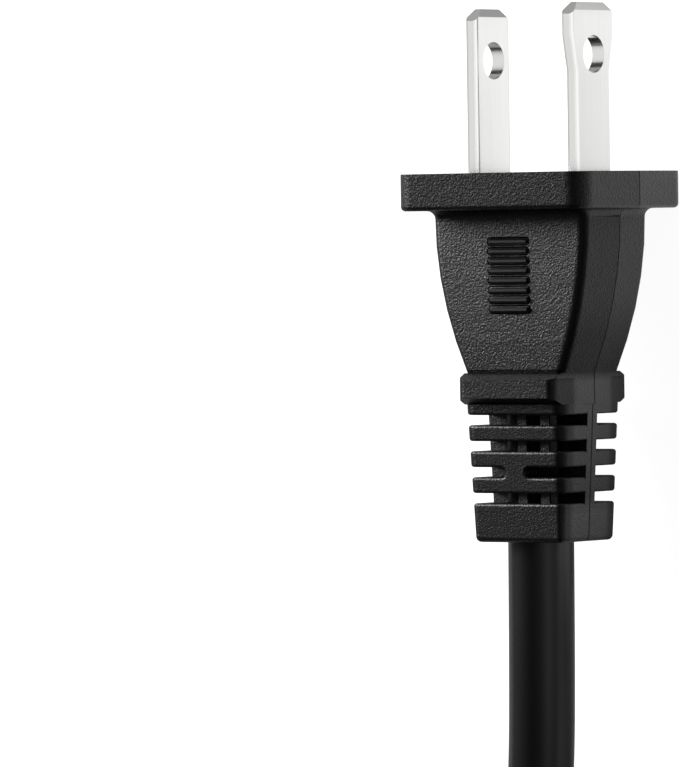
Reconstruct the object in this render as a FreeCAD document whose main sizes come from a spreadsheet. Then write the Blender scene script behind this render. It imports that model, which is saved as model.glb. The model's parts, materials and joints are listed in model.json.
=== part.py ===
import FreeCAD, Part

import math
import os
from types import SimpleNamespace

import Sketcher

# A polarised two-blade plug moulded on a round cord. It lies on the back of its flange, with the
# ridged front up and its cord folded into a tied hank behind it.
# X runs across the blades, Y along them and away from the cord, Z up. The origin is the middle of
# the mating face. Lengths are in millimetres and angles in degrees.

SIZES = (
    ("flange_width", 25.2, "flange across the blades, where the mould halves part"),
    ("flange_depth", 19.7, "flange from front to back"),
    ("flange_thickness", 3.9, "flange along the blades"),
    ("flange_corner", 2.2, "corner radius of the flange"),
    ("flange_edge", 0.5, "rounding of the flange's rear edge"),
    ("flange_root", 0.9, "fillet where the head leaves the flange"),
    ("side_draft", 4.4, "draft of the sides, both ways from the parting plane"),
    ("head_start", 1.0, "mating face to the head's first section, inside the flange"),
    ("head_side_rim", 2.64, "how far the flange stands out past the head there, at each side"),
    ("head_front_rim", 3.9, "how far it stands out in front and behind"),
    ("head_side_bulge", 2.6, "how much wider than a straight taper the head is half way"),
    ("head_front_bulge", 0.5, "how much deeper than a straight taper it is there"),
    ("head_length", 21.0, "mating face to the end of the head"),
    ("head_corner", 1.0, "rounding of the head's and collar's long edges"),
    ("head_side_taper", 3.36, "how much each side of the head comes in from its first section to its end"),
    ("head_front_taper", 0.5, "how much its front and back come in"),
    ("collar_rise", 1.65, "how far the collar stands out past the head's end, in front and behind"),
    ("collar_length", 3.3, "collar along the cord"),
    ("collar_slope", 0.7, "length of each slope on the collar's front"),
    ("relief_width", 12.7, "strain relief across, at the collar"),
    ("relief_depth", 11.5, "strain relief from front to back, at the collar"),
    ("relief_length", 14.5, "strain relief along the cord"),
    ("relief_corner", 1.4, "rounding of the strain relief's long edges"),
    ("relief_taper", 3.05, "how much each side of the strain relief leans in"),
    ("relief_end", 0.6, "rounding of the strain relief's last edge"),
    ("slot_first", 25.95, "mating face to the middle of the first slot"),
    ("slot_pitch", 2.74, "slot to slot"),
    ("slot_height", 1.07, "height of a slot, along the cord"),
    ("slot_web", 1.8, "thickness of the web left at each side"),
    ("slot_bridge", 2.5, "width of the bridge over the third slot"),
    ("rib_edge", 0.3, "rounding of the edges between the slots"),
    ("ridge_first", 7.2, "mating face to the first grip ridge"),
    ("ridge_pitch", 1.02, "ridge to ridge"),
    ("ridge_length", 4.7, "length of a ridge's flat top, with its round ends"),
    ("ridge_top", 0.24, "width of that top, along the blades"),
    ("ridge_slope", 32.0, "how far a ridge's sides lean out from upright"),
    ("ridge_rise", 0.28, "how far a ridge stands out past the head's first section"),
    ("ridge_root", 0.6, "from a ridge's top down to its root inside the head"),
    ("blade_spacing", 12.7, "blade to blade"),
    ("blade_width", 6.35, "width of a blade"),
    ("blade_thickness", 1.5, "thickness of a blade"),
    ("blade_length", 17.35, "mating face to the tip of the narrow blade"),
    ("blade_stagger", 0.4, "how much further out the wide blade stands"),
    ("blade_edge", 0.5, "rounding of a blade's long edges"),
    ("blade_hole", 3.96, "diameter of the hole in a blade"),
    ("blade_hole_at", 11.9, "mating face to the hole in the narrow blade"),
    ("wide_tip_width", 7.92, "width of the wide blade's tip"),
    ("wide_tip_length", 3.6, "length of the wide blade's tip"),
    ("wide_flare_length", 3.6, "stretch over which that width is lost again"),
    ("tip_corner_length", 1.27, "length of the cut at a tip's corners"),
    ("tip_corner_width", 1.45, "width of the cut at a tip's corners"),
    ("tip_bevel_length", 0.85, "length of the bevel on a tip's flat sides"),
    ("tip_bevel_depth", 0.4, "depth of the bevel on a tip's flat sides"),
    ("tail_width", 3.4, "width of a blade inside the moulding"),
    ("tail_start", 6.9, "mating face to where a blade narrows"),
    ("tail_end", 8.5, "mating face to the crimp barrel"),
    ("crimp_length", 3.5, "length of the crimp barrel"),
    ("crimp_wall", 0.7, "wall of the crimp barrel"),
    ("crimp_seam", 0.3, "seam of the crimp barrel"),
    ("holder_start", 1.4, "mating face to the inner blade holder"),
    ("holder_length", 4.6, "inner blade holder along the blades"),
    ("holder_cover", 1.26, "moulding at each side of the inner blade holder"),
    ("holder_depth", 8.8, "inner blade holder from front to back"),
    ("holder_corner", 1.5, "corner radius of the inner blade holder"),
    ("holder_window", 4.2, "width of the window in the middle of the holder"),
    ("conductor_diameter", 1.2, "bunched strands of a core"),
    ("core_diameter", 2.8, "insulation of a core"),
    ("core_spacing", 2.9, "core to core in the cord"),
    ("core_start", 12.4, "mating face to the stripped end of a core"),
    ("core_bend_start", 13.0, "mating face to where a core turns inward"),
    ("core_bend_end", 23.4, "mating face to where it lies along the cord"),
    ("jacket_start", 24.0, "mating face to the end of the cord's jacket"),
    ("cord_diameter", 7.0, "cord outside its jacket"),
    ("cord_offset", 0.4, "how far the cord sits off the plug's axis, towards the line blade"),
    ("hank_near", 94.0, "mating face to the near end of the hank"),
    ("hank_length", 110.0, "hank from end to end"),
    ("fold_radius", 21.0, "bend of the inner turns at the hank's ends"),
    ("hank_bevel", 2.05, "bevel of the hank's edges, which touches the cord's round"),
    ("hank_entry_run", 14.0, "straight end of the cord's run, where it joins the hank"),
    ("tie_width", 4.0, "width of the wire tie"),
    ("tie_thickness", 0.8, "thickness of the wire tie"),
    ("tie_tail_diameter", 3.0, "twisted end of the tie"),
    ("tie_tail_length", 12.0, "length of the twisted end"),
    ("tie_back", 7.5, "middle of a tie, from where the hank's far bend starts"),
    ("strip_length", 34.0, "cores bare of jacket at the far end"),
    ("bare_length", 8.0, "strands bare of insulation at the far end"),
    ("spare", 2.0, "how far a cutting shape runs past what it cuts"),
)
SLOT_COUNT = 4
BRIDGED_SLOT = 2  # the third one, counted from nought
RIDGE_COUNT = 8
HEAD_SECTIONS = 7
HANK_LAYERS = 3


class Amount:
    """A number from the sheet, or worked out from it, with the expression that keeps it bound."""

    def __init__(self, value, text):
        self.value = value
        self.text = text

    def _with(self, other, sign, value):
        return Amount(value, f"({self.text} {sign} {amount(other).text})")

    def __add__(self, other):
        return self._with(other, "+", self.value + amount(other).value)

    def __sub__(self, other):
        return self._with(other, "-", self.value - amount(other).value)

    def __mul__(self, other):
        return self._with(other, "*", self.value * amount(other).value)

    def __truediv__(self, other):
        return self._with(other, "/", self.value / amount(other).value)

    def __neg__(self):
        return Amount(-self.value, f"(-1 * {self.text})")


def amount(number):
    """The number as an Amount, if it isn't one yet."""
    return number if isinstance(number, Amount) else Amount(float(number), f"{number:g}")


def of_angle(function, angle):
    """sin, cos or tan of an angle in degrees."""
    value = getattr(math, function)(math.radians(angle.value))
    return Amount(value, f"{function}({angle.text} * 1 deg)")


doc = FreeCAD.newDocument("two_blade_plug")
sheet = doc.addObject("Spreadsheet::Sheet", "Sizes")
for row, (name, value, meaning) in enumerate(SIZES, start=1):
    sheet.set(f"A{row}", meaning)
    sheet.set(f"B{row}", f"{value:g}")
    sheet.setAlias(f"B{row}", name)
doc.recompute()
s = SimpleNamespace(**{name: Amount(float(sheet.get(name)), f"Sizes.{name}") for name, *_ in SIZES})

# What several pieces share.
floor_height = -s.flange_depth / 2
head_width = s.flange_width - s.head_side_rim * 2
head_depth = s.flange_depth - s.head_front_rim * 2
cord_radius = s.cord_diameter / 2
neck_width = head_width - s.head_side_taper * 2
neck_depth = head_depth - s.head_front_taper * 2
collar_depth = neck_depth + s.collar_rise * 2
head_end = s.head_length + s.collar_length
plug_end = head_end + s.relief_length
blade_offset = s.blade_spacing / 2
core_offset = s.core_spacing / 2


def bind(thing, **amounts):
    """Each named property keeps the expression of its amount."""
    for path, value in amounts.items():
        thing.setExpression(path.replace("__", "."), amount(value).text)


def new_body(label):
    body = doc.addObject("PartDesign::Body", label)
    body.Label = label
    return body


def on_plane(body, label, role, height=0.0, shift=0.0):
    """An empty sketch on one of the body's own planes, moved along its normal and along its vertical."""
    sketch = body.newObject("Sketcher::SketchObject", label)
    plane = next(o for o in body.Origin.OriginFeatures if o.Role == role)
    sketch.AttachmentSupport = [(plane, "")]
    sketch.MapMode = "FlatFace"
    sketch.setExpression("AttachmentOffset.Base.z", amount(height).text)
    sketch.setExpression("AttachmentOffset.Base.y", amount(shift).text)
    return sketch


def hold(sketch, edge, end, place):
    """Ties one end of an edge to a place, given as two amounts."""
    for kind, value in zip(("DistanceX", "DistanceY"), place):
        value = amount(value)
        number = sketch.addConstraint(Sketcher.Constraint(kind, -1, 1, edge, end, value.value))
        sketch.setExpression(f"Constraints[{number}]", value.text)


def vector(place):
    return FreeCAD.Vector(amount(place[0]).value, amount(place[1]).value, 0)


def arc_between(start, finish, radius):
    """The shorter arc from start to finish; a negative radius bulges to the left of the way."""
    a, b = vector(start), vector(finish)
    chord = b - a
    middle = (a + b) / 2
    side = FreeCAD.Vector(chord.y, -chord.x, 0).normalize() * math.copysign(1, radius)
    sagitta = abs(radius) - math.sqrt(radius * radius - (chord.Length / 2) ** 2)
    return Part.Arc(a, middle + side * sagitta, b)


def outline(sketch, corners, closed=True):
    """A line through the corners. A third entry is the radius of the side that follows."""
    first = sketch.GeometryCount
    count = len(corners)
    sides = count if closed else count - 1
    for i, corner in enumerate(corners[:sides]):
        after = corners[(i + 1) % count]
        if len(corner) == 3:
            edge = arc_between(corner, after, amount(corner[2]).value)
        else:
            edge = Part.LineSegment(vector(corner), vector(after))
        sketch.addGeometry(edge, False)
    # An arc is kept counter-clockwise, so one that bulges left has its ends swapped.
    swapped = [len(corner) == 3 and amount(corner[2]).value < 0 for corner in corners]
    for i, corner in enumerate(corners[:sides]):
        hold(sketch, first + i, 2 if swapped[i] else 1, corner)
        if i or closed:
            previous = (i - 1) % count
            ends = (first + previous, 1 if swapped[previous] else 2, first + i, 2 if swapped[i] else 1)
            sketch.addConstraint(Sketcher.Constraint("Coincident", *ends))
    if not closed:
        hold(sketch, first + sides - 1, 1 if swapped[sides - 1] else 2, corners[-1])
    for i, corner in enumerate(corners[:sides]):
        if len(corner) == 3:
            radius = amount(corner[2])
            number = sketch.addConstraint(Sketcher.Constraint("Radius", first + i, abs(radius.value)))
            sketch.setExpression(f"Constraints[{number}]", radius.text if radius.value > 0 else (-radius).text)


def rectangle(sketch, low, high):
    outline(sketch, [(low[0], low[1]), (high[0], low[1]), (high[0], high[1]), (low[0], high[1])])


def bevelled(sketch, low, high, bevel):
    """A rectangle with its four corners cut off."""
    x1, y1, x2, y2 = *low, *high
    outline(
        sketch,
        [
            (x1 + bevel, y1),
            (x2 - bevel, y1),
            (x2, y1 + bevel),
            (x2, y2 - bevel),
            (x2 - bevel, y2),
            (x1 + bevel, y2),
            (x1, y2 - bevel),
            (x1, y1 + bevel),
        ],
    )


def rounded(sketch, half_width, half_depth, radius):
    """A rectangle round the origin with rounded corners."""
    flat = half_width - radius
    side = half_depth - radius
    outline(
        sketch,
        [
            (half_width, -side),
            (half_width, side, radius),
            (flat, half_depth),
            (-flat, half_depth, radius),
            (-half_width, side),
            (-half_width, -side, radius),
            (-flat, -half_depth),
            (flat, -half_depth, radius),
        ],
    )


def drafted(sketch, width, depth, radius):
    """The moulding's outline across the cord: widest where the mould halves part, round at its corners."""
    wide = width / 2
    deep = depth / 2
    narrow = wide - deep * of_angle("tan", s.side_draft)
    setback = radius / of_angle("tan", s.side_draft / 2 + 45)
    flat = narrow - setback
    side = narrow + setback * of_angle("sin", s.side_draft)
    low = deep - setback * of_angle("cos", s.side_draft)
    outline(
        sketch,
        [
            (wide, amount(0)),
            (side, low, radius),
            (flat, deep),
            (-flat, deep, radius),
            (-side, low),
            (-wide, amount(0)),
            (-side, -low, radius),
            (-flat, -deep),
            (flat, -deep, radius),
            (side, -low),
        ],
    )


def circle(sketch, centre, radius):
    edge = sketch.addGeometry(Part.Circle(vector(centre), FreeCAD.Vector(0, 0, 1), radius.value), False)
    hold(sketch, edge, 3, centre)
    number = sketch.addConstraint(Sketcher.Constraint("Radius", edge, radius.value))
    sketch.setExpression(f"Constraints[{number}]", radius.text)


def pad(body, label, sketch, length, symmetric=False, reverse=False, taper=0.0):
    feature = body.newObject("PartDesign::Pad", label)
    feature.Profile = sketch
    feature.SideType = "Symmetric" if symmetric else "One side"
    feature.Reversed = reverse
    bind(feature, Length=length, TaperAngle=taper)
    doc.recompute()
    return feature


def pocket(body, label, sketch, length, symmetric=False, reverse=False):
    feature = body.newObject("PartDesign::Pocket", label)
    feature.Profile = sketch
    feature.SideType = "Symmetric" if symmetric else "One side"
    feature.Reversed = reverse
    bind(feature, Length=length)
    before = feature.BaseFeature.Shape.Volume
    doc.recompute()
    if feature.Shape.Volume > before - 1e-6:
        raise ValueError(f"{label} cuts nothing")
    return feature


def fillet(body, label, radius, keep):
    feature = body.newObject("PartDesign::Fillet", label)
    finish_edges(body, feature, keep, Radius=radius)


def chamfer(body, label, size, keep):
    feature = body.newObject("PartDesign::Chamfer", label)
    finish_edges(body, feature, keep, Size=size)


def finish_edges(body, feature, keep, **amounts):
    base = feature.BaseFeature
    names = [f"Edge{i}" for i, edge in enumerate(base.Shape.Edges, start=1) if keep(edge.BoundBox)]
    if not names:
        raise ValueError(f"{feature.Label} finds no edge")
    feature.Base = (base, names)
    bind(feature, **amounts)
    doc.recompute()
    if feature.Shape.isNull():
        raise ValueError(f"{feature.Label} can't be made")


def merged(label, base, *tools):
    """The base with the tools taken out of it."""
    tool = tools[0]
    if len(tools) > 1:
        tool = doc.addObject("Part::MultiFuse", f"{label}_tools")
        tool.Shapes = list(tools)
    cut = doc.addObject("Part::Cut", label)
    cut.Base = base
    cut.Tool = tool
    cut.Label = label
    doc.recompute()
    return cut


def make_head(body):
    """The head, lofted from inside the flange to its neck, with sides and front that bulge a little."""
    sketches = []
    for i in range(HEAD_SECTIONS):
        part_way = i / (HEAD_SECTIONS - 1)
        bulge = 4 * part_way * (1 - part_way)
        place = s.head_start + (s.head_length - s.head_start) * part_way
        width = head_width + (neck_width - head_width) * part_way + s.head_side_bulge * bulge
        depth = head_depth + (neck_depth - head_depth) * part_way + s.head_front_bulge * bulge
        sketch = on_plane(body, f"head_section_{i + 1}", "XZ_Plane", height=place)
        drafted(sketch, width, depth, s.head_corner)
        sketches.append(sketch)
    doc.recompute()
    loft = body.newObject("PartDesign::AdditiveLoft", "head")
    loft.Profile = sketches[0]
    loft.Sections = sketches[1:]
    loft.Ruled = True
    doc.recompute()


def make_flange(body):
    face = on_plane(body, "flange_outline", "XZ_Plane")
    drafted(face, s.flange_width, s.flange_depth, s.flange_corner)
    pad(body, "flange", face, s.flange_thickness)


def make_collar(body):
    """The collar, flush with the neck at its sides and proud of it in front and behind."""
    ring = on_plane(body, "collar_outline", "XZ_Plane", height=s.head_length)
    drafted(ring, neck_width, collar_depth, s.head_corner)
    pad(body, "collar", ring, s.collar_length)
    waist = neck_depth / 2
    proud = collar_depth / 2
    out = proud + s.spare
    slopes = on_plane(body, "collar_slopes", "YZ_Plane")
    for start, slope in ((-s.head_length, -s.collar_slope), (-head_end, s.collar_slope)):
        end = start + slope
        for sign in (1, -1):
            outline(slopes, [(start, waist * sign), (end, proud * sign), (end, out * sign), (start, out * sign)])
    pocket(body, "collar_slope_cut", slopes, neck_width + s.spare, symmetric=True)


def make_relief(body):
    """The strain relief's block, tapered towards the cord."""
    start = on_plane(body, "relief_outline", "XZ_Plane", height=head_end)
    rounded(start, s.relief_width / 2, s.relief_depth / 2, s.relief_corner)
    pad(body, "relief", start, s.relief_length, taper=-s.relief_taper)


def round_moulding(body):
    flange_back = -s.flange_thickness.value
    relief_low = -plug_end.value
    tiny = 0.05

    def at_flange_back(box):
        return abs(box.YMin - flange_back) < tiny and abs(box.YMax - flange_back) < tiny

    def near_the_rim(box):
        out_in_x = max(abs(box.XMin), abs(box.XMax)) > s.flange_width.value / 2 - 1
        out_in_z = max(abs(box.ZMin), abs(box.ZMax)) > s.flange_depth.value / 2 - 1
        return out_in_x or out_in_z

    fillet(body, "relief_last_edge", s.relief_end, lambda box: box.YMax < relief_low + tiny)
    fillet(body, "flange_rear_edge", s.flange_edge, lambda box: at_flange_back(box) and near_the_rim(box))
    fillet(body, "flange_root", s.flange_root, lambda box: at_flange_back(box) and not near_the_rim(box))


def cut_slots(body, side):
    """Four slots across one face of the strain relief, which leave a web at each side."""
    front = side == "front"
    web = s.slot_web / 2
    sketch = on_plane(body, f"{side}_slots", "XY_Plane", height=web if front else -web)
    reach = s.relief_width / 2 + s.spare
    half = s.slot_height / 2
    bridge = s.slot_bridge / 2
    for i in range(SLOT_COUNT):
        middle = -s.slot_first - s.slot_pitch * i
        low = middle - half
        high = middle + half
        if i == BRIDGED_SLOT:
            end = bridge + half
            outline(sketch, [(end, low), (reach, low), (reach, high), (end, high, half), (bridge, middle, half)])
            outline(sketch, [(-end, high), (-reach, high), (-reach, low), (-end, low, half), (-bridge, middle, half)])
        else:
            rectangle(sketch, (-reach, low), (reach, high))
    pocket(body, f"{side}_slot_cut", sketch, s.relief_depth, reverse=front)


def round_ribs(body):
    """Rounds the outer edges of every slot, all the way from one web to the other."""
    half = s.slot_height.value / 2
    levels = [
        -s.slot_first.value - s.slot_pitch.value * i + way * half for i in range(SLOT_COUNT) for way in (-1, 1)
    ]
    web = s.slot_web.value / 2

    def on_a_rib(box):
        level = any(abs(box.YMin - y) < 0.01 and abs(box.YMax - y) < 0.01 for y in levels)
        inner = box.ZLength < 0.01 and abs(abs(box.ZMin) - web) < 0.01
        return level and not inner

    fillet(body, "rib_edges", s.rib_edge, on_a_rib)


def add_ridges(body, side):
    """Eight grip ridges with round ends and sloping sides, one above the other."""
    front = side == "front"
    root = head_depth / 2 + s.ridge_rise - s.ridge_root
    sketch = on_plane(body, f"{side}_ridge", "XY_Plane", root if front else -root, shift=-s.ridge_first)
    spread = s.ridge_root * of_angle("tan", s.ridge_slope)
    radius = s.ridge_top / 2 + spread
    flat = (s.ridge_length - s.ridge_top) / 2
    end = flat + radius
    outline(
        sketch,
        [
            (-flat, -radius),
            (flat, -radius, radius),
            (end, amount(0), radius),
            (flat, radius),
            (-flat, radius, radius),
            (-end, amount(0), radius),
        ],
    )
    ridge = pad(body, f"{side}_first_ridge", sketch, s.ridge_root, reverse=not front, taper=-s.ridge_slope)
    pattern = body.newObject("PartDesign::LinearPattern", f"{side}_ridges")
    pattern.Originals = [ridge]
    axis = next(o for o in body.Origin.OriginFeatures if o.Role == "Y_Axis")
    pattern.Direction = (axis, [""])
    pattern.Reversed = True
    pattern.Occurrences = RIDGE_COUNT
    bind(pattern, Length=s.ridge_pitch * (RIDGE_COUNT - 1))
    body.Tip = pattern
    doc.recompute()


def make_blade(label, side, wide):
    """A flat blade with a hole, a narrower tail and a crimp barrel. side is -1 or 1 across the plug."""
    body = new_body(label)
    body.setExpression("Placement.Base.x", (blade_offset * side).text)
    body.setExpression("Placement.Base.y", amount(s.blade_stagger if wide else 0).text)
    half = s.blade_width / 2
    tip = (s.wide_tip_width if wide else s.blade_width) / 2
    tail = s.tail_width / 2
    length = s.blade_length
    shoulder = length - s.tip_corner_length
    cut = tip - s.tip_corner_width
    right = [(-s.tail_end, tail), (-s.tail_start, tail), (-s.tail_start, half)]
    if wide:
        flare_top = length - s.wide_tip_length
        right += [(flare_top - s.wide_flare_length, half), (flare_top, tip)]
    right += [(shoulder, tip), (length, cut)]
    left = [(y, -z) for y, z in reversed(right)]
    flat = on_plane(body, f"{label}_outline", "YZ_Plane")
    outline(flat, right + left)
    pad(body, f"{label}_flat", flat, s.blade_thickness, symmetric=True)
    cut_bevels(body, label, tip)
    fillet(
        body,
        f"{label}_edges",
        s.blade_edge,
        lambda box: box.XLength < 0.01
        and box.YLength > 1.5
        and box.YMin > -s.tail_start.value - 0.01
        and box.YMax < shoulder.value + 0.01,
    )
    hole = on_plane(body, f"{label}_hole_outline", "YZ_Plane")
    circle(hole, (s.blade_hole_at, amount(0)), s.blade_hole / 2)
    pocket(body, f"{label}_hole", hole, s.blade_thickness + s.spare, symmetric=True)
    add_crimp(body, label)
    return body


def cut_bevels(body, label, tip):
    """The bevel on each flat side of a blade's tip."""
    half = s.blade_thickness / 2
    low = s.blade_length - s.tip_bevel_length
    high = s.blade_length + s.spare
    slope = s.tip_bevel_depth / s.tip_bevel_length
    inner = half - slope * (high - low)
    sketch = on_plane(body, f"{label}_bevels", "XY_Plane")
    outline(sketch, [(half, low), (half + s.spare, low), (half + s.spare, high), (inner, high)])
    outline(sketch, [(-half, low), (-inner, high), (-half - s.spare, high), (-half - s.spare, low)])
    pocket(body, f"{label}_bevel_cut", sketch, tip * 2 + s.spare, symmetric=True)


def add_crimp(body, label):
    """The barrel rolled round the strands, with its seam on top."""
    inner = s.conductor_diameter / 2
    outer = inner + s.crimp_wall
    ring = on_plane(body, f"{label}_barrel_outline", "XZ_Plane", height=s.tail_end)
    circle(ring, (amount(0), amount(0)), outer)
    circle(ring, (amount(0), amount(0)), inner)
    pad(body, f"{label}_barrel", ring, s.crimp_length)
    seam = on_plane(body, f"{label}_seam_outline", "XZ_Plane", height=s.tail_end)
    rectangle(seam, (-s.crimp_seam / 2, amount(0)), (s.crimp_seam / 2, outer + s.spare))
    pocket(body, f"{label}_seam", seam, s.crimp_length, reverse=True)


def make_holder():
    """The rigid bridge that keeps the two blades apart while the plug is moulded round them."""
    body = new_body("holder_block")
    half = head_width / 2 - s.holder_cover
    deep = s.holder_depth / 2
    window = s.holder_window / 2
    face = on_plane(body, "holder_outline", "XZ_Plane", height=s.holder_start)
    rectangle(face, (-half, -deep), (half, deep))
    rectangle(face, (-window, -deep / 2), (window, deep / 2))
    pad(body, "holder_pad", face, s.holder_length)
    fillet(
        body,
        "holder_corners",
        s.holder_corner,
        lambda box: box.YLength > 1 and abs(box.Center.x) > half.value - 0.1,
    )
    return body


def make_wire(label, side, start, outer, inner=None):
    """A wire from the crimp barrel to the cord, bent twice. inner leaves it hollow."""
    body = new_body(label)
    at_blade = blade_offset * side
    at_cord = core_offset * side - s.cord_offset
    bend_start = -s.core_bend_start
    bend_end = -s.core_bend_end
    path = on_plane(body, f"{label}_path", "XY_Plane")
    outline(
        path,
        [(at_blade, -start), (at_blade, bend_start), (at_cord, bend_end), (at_cord, -s.jacket_start)],
        closed=False,
    )
    section = on_plane(body, f"{label}_section", "XZ_Plane", height=start)
    circle(section, (at_blade, amount(0)), outer / 2)
    if inner:
        circle(section, (at_blade, amount(0)), inner / 2)
    doc.recompute()
    pipe = body.newObject("PartDesign::AdditivePipe", f"{label}_pipe")
    pipe.Profile = section
    pipe.Spine = (path, [""])
    pipe.Transition = "Right corner"
    doc.recompute()
    return body


def cord_route():
    """The corners of the cord's way from inside the strain relief to the hank, chosen by hand."""
    join = hank_places()
    off = -s.cord_offset.value
    return [
        (off, -s.jacket_start.value, 0.0),
        (off, -46.0, 0.0),
        (-2.9, -70.0, -2.9),
        (join.x, join.y + s.hank_entry_run.value, join.z),
        (join.x, join.y, join.z),
    ]


def hank_places():
    """Where the hank lies: its middle line, its lowest turn, and the point at which the cord joins it."""
    outer_turn = s.fold_radius.value + s.cord_diameter.value
    half_width = outer_turn + cord_radius.value
    centre_x = -s.flange_width.value / 2 + half_width
    near_y = -s.hank_near.value
    bottom = floor_height.value + s.tie_thickness.value
    x = centre_x - outer_turn
    reach = centre_x - x - cord_radius.value
    stub = math.sqrt(half_width * half_width - reach * reach)
    return SimpleNamespace(
        x=x,
        y=near_y - half_width + stub,
        z=bottom + cord_radius.value,
        centre_x=centre_x,
        half_width=half_width,
        arc_y=near_y - half_width,
        far_arc_y=near_y - s.hank_length.value + half_width,
        bottom=bottom,
        top=bottom + HANK_LAYERS * s.cord_diameter.value,
    )


def rounded_path(points):
    """Straight runs joined by tangent arcs, each as large as its two runs allow."""
    places = [FreeCAD.Vector(*point) for point in points]
    edges = []
    start = places[0]
    for before, corner, after in zip(places, places[1:], places[2:]):
        back = (before - corner).normalize()
        ahead = (after - corner).normalize()
        turn = math.pi - back.getAngle(ahead)
        setback = 0.45 * min(corner.distanceToPoint(before), corner.distanceToPoint(after))
        radius = setback / math.tan(turn / 2)
        print(f"cord bend of radius {radius:.1f} mm")
        leave = corner + back * setback
        join = corner + ahead * setback
        inward = (back + ahead).normalize()
        centre = corner + inward * (radius / math.cos(turn / 2))
        edges.append(Part.makeLine(start, leave))
        edges.append(Part.Arc(leave, centre - inward * radius, join).toShape())
        start = join
    edges.append(Part.makeLine(start, places[-1]))
    return Part.Wire(edges)


def make_cord():
    """The jacketed cord from inside the strain relief to the hank."""
    points = cord_route()
    wire = rounded_path(points)
    start = FreeCAD.Vector(*points[0])
    direction = FreeCAD.Vector(*points[1]) - start
    ring = Part.Wire([Part.makeCircle(cord_radius.value, start, direction)])
    tube = wire.makePipeShell([ring], True, False)
    expected = math.pi * cord_radius.value**2 * wire.Length
    print(f"cord run {wire.Length:.1f} mm, volume {tube.Volume:.0f} of {expected:.0f}")
    feature = doc.addObject("Part::Feature", "cord_jacket")
    feature.Shape = tube
    return feature


def make_hank():
    """The outer form of the folded cord: flat turns beside and on each other, open in the middle."""
    place = hank_places()
    body = new_body("cord_hank")
    outer = s.fold_radius + s.cord_diameter * 1.5
    inner = s.fold_radius - cord_radius
    centre = -s.flange_width / 2 + outer
    near = -s.hank_near - outer
    far = -s.hank_near - s.hank_length + outer
    base = floor_height + s.tie_thickness
    height = s.cord_diameter * HANK_LAYERS
    sketch = on_plane(body, "hank_outline", "XY_Plane", height=base)
    for radius in (outer, inner):
        outline(
            sketch,
            [(centre + radius, near, radius), (centre, near + radius, radius), (centre - radius, near),
             (centre - radius, far, radius), (centre, far - radius, radius), (centre + radius, far)],
        )
    pad(body, "hank_block", sketch, height)
    top = place.top
    chamfer(
        body,
        "hank_edges",
        s.hank_bevel,
        lambda box: box.ZLength < 0.01 and (box.ZMin > top - 0.01 or box.ZMax < place.bottom + 0.01),
    )
    # The last turn's place is open where the cord has ended, from its bared cores to the near bend.
    open_place = on_plane(body, "hank_last_turn_outline", "XY_Plane", height=base + height)
    in_side = s.fold_radius - cord_radius
    out_side = s.fold_radius + cord_radius
    outline(
        open_place,
        [
            (centre + in_side - s.spare, near - s.strip_length),
            (centre + out_side, near - s.strip_length),
            (centre + out_side, near, out_side),
            (centre, near + out_side),
            (centre, near + in_side - s.spare),
            (centre + in_side - s.spare, near),
        ],
    )
    pocket(body, "hank_last_turn", open_place, s.cord_diameter)
    stub = on_plane(body, "hank_entry_outline", "XZ_Plane", height=-near)
    circle(stub, (centre - s.fold_radius - s.cord_diameter, base + cord_radius), cord_radius)
    entry = body.newObject("PartDesign::Pad", "hank_entry")
    entry.Profile = stub
    entry.Reversed = True
    entry.Length = place.y - place.arc_y
    doc.recompute()
    return body


def make_tie(label, side):
    """A wire tie round the turns on one side of the hank, with its ends twisted together."""
    body = new_body(label)
    middle = -s.hank_near - s.hank_length + s.fold_radius + s.cord_diameter * 1.5 + s.tie_back
    centre = -s.flange_width / 2 + s.fold_radius + s.cord_diameter * 1.5
    bundle = centre + (s.fold_radius + cord_radius) * side
    half = s.cord_diameter
    base = floor_height + s.tie_thickness
    top = base + s.cord_diameter * HANK_LAYERS
    thick = s.tie_thickness
    ring = on_plane(body, f"{label}_outline", "XZ_Plane", height=-middle)
    outer_bevel = s.hank_bevel + thick * (2 - math.sqrt(2))
    bevelled(ring, (bundle - half - thick, base - thick), (bundle + half + thick, top + thick), outer_bevel)
    bevelled(ring, (bundle - half, base), (bundle + half, top), s.hank_bevel)
    pad(body, f"{label}_loop", ring, s.tie_width, symmetric=True)
    start = bundle - (half + thick) * side
    tail = on_plane(body, f"{label}_tail_outline", "YZ_Plane", height=start)
    circle(tail, (middle, (base + top) / 2), s.tie_tail_diameter / 2)
    pad(body, f"{label}_tail", tail, s.tie_tail_length, reverse=side > 0)
    return body


def make_far_core(label, side, start, length, outer, inner=None):
    """A straight core on the hank's second layer, seen where the jacket ends."""
    body = new_body(label)
    centre = -s.flange_width / 2 + s.fold_radius + s.cord_diameter * 1.5
    x = centre + s.fold_radius + core_offset * side
    z = floor_height + s.tie_thickness + s.cord_diameter * (HANK_LAYERS - 1) + s.core_diameter / 2
    section = on_plane(body, f"{label}_section", "XZ_Plane", height=start)
    circle(section, (x, z), outer / 2)
    if inner:
        circle(section, (x, z), inner / 2)
    pad(body, f"{label}_length", section, length, reverse=True)
    return body


def make_moulding(*inside):
    """The one moulding of flange, head, collar and strain relief, shaped round what it holds."""
    body = new_body("moulding")
    make_head(body)
    make_flange(body)
    make_collar(body)
    make_relief(body)
    round_moulding(body)
    for side in ("front", "back"):
        cut_slots(body, side)
        add_ridges(body, side)
    round_ribs(body)
    return merged("plug_body", body, *inside)


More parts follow.
